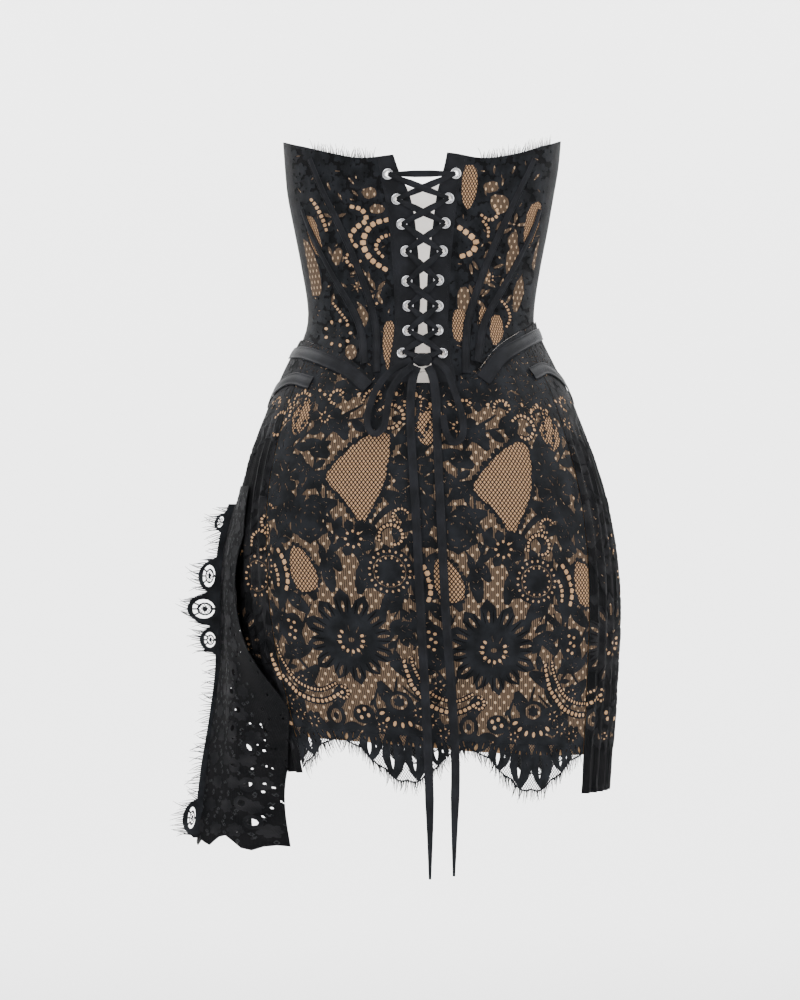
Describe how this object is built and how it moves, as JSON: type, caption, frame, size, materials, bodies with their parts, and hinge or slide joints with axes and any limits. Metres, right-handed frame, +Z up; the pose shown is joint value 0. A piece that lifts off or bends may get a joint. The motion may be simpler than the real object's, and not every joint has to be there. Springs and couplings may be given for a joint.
{
  "type": "corset dress",
  "caption": "Strapless corset mini dress in black lace over nude lining, laced up the back with a bow, with gathered lace at the sides and a long lace fall at one side.",
  "frame": {"origin": "middle of the waist ring, where the wearer's waist holds the dress up", "axes": "+Z up the body, the laced back faces -Y and the front +Y, +X is the right side seen from the back"},
  "size_m": [0.4511, 0.2489, 0.7238],
  "materials": {
    "black_lace": "matte lace",
    "black_satin": "satin",
    "nude_lining": "matte",
    "silver_metal": "polished"
  },
  "bodies": {
    "root": {"bodice_back_gusset_left": "nude_lining", "bodice_back_gusset_right": "nude_lining", "bodice_centre_back_left": "nude_lining", "bodice_centre_back_right": "nude_lining", "bodice_centre_front": "nude_lining", "bodice_front_cup_left": "nude_lining", "bodice_front_cup_right": "nude_lining", "bodice_mid_back_left": "nude_lining", "bodice_mid_back_right": "nude_lining", "bodice_side_panel_left": "black_satin", "bodice_side_panel_right": "black_satin", "boning_tape_inner_left": "black_satin", "boning_tape_inner_right": "black_satin", "boning_tape_outer_left": "black_satin", "boning_tape_outer_right": "black_satin", "bow_knot": "black_satin", "bow_loop_left": "black_satin", "bow_loop_right": "black_satin", "drape_flounce": "black_lace", "drape_fringe": "black_lace", "eyelet_left_1": "silver_metal", "eyelet_left_2": "silver_metal", "eyelet_left_3": "silver_metal", "eyelet_left_4": "silver_metal", "eyelet_left_5": "silver_metal", "eyelet_left_6": "silver_metal", "eyelet_left_7": "silver_metal", "eyelet_left_8": "silver_metal", "eyelet_right_1": "silver_metal", "eyelet_right_2": "silver_metal", "eyelet_right_3": "silver_metal", "eyelet_right_4": "silver_metal", "eyelet_right_5": "silver_metal", "eyelet_right_6": "silver_metal", "eyelet_right_7": "silver_metal", "eyelet_right_8": "silver_metal", "hem_fringe": "black_lace", "hem_lace_back": "black_lace", "hem_lace_front": "black_lace", "hip_tape_lower_left": "black_satin", "hip_tape_lower_right": "black_satin", "hip_tape_upper_left": "black_satin", "hip_tape_upper_right": "black_satin", "lace_end_left": "black_satin", "lace_end_right": "black_satin", "lacing": "black_satin", "placket_left": "black_satin", "placket_right": "black_satin", "side_band_left": "black_lace", "side_band_right": "black_lace", "side_drape": "black_lace", "skirt_lace_back": "black_lace", "skirt_lace_front": "black_lace", "skirt_lining_back_left": "nude_lining", "skirt_lining_back_right": "nude_lining", "skirt_lining_front_left": "nude_lining", "skirt_lining_front_right": "nude_lining", "top_fringe_left": "black_lace", "top_fringe_right": "black_lace"}
  },
  "joints": []
}
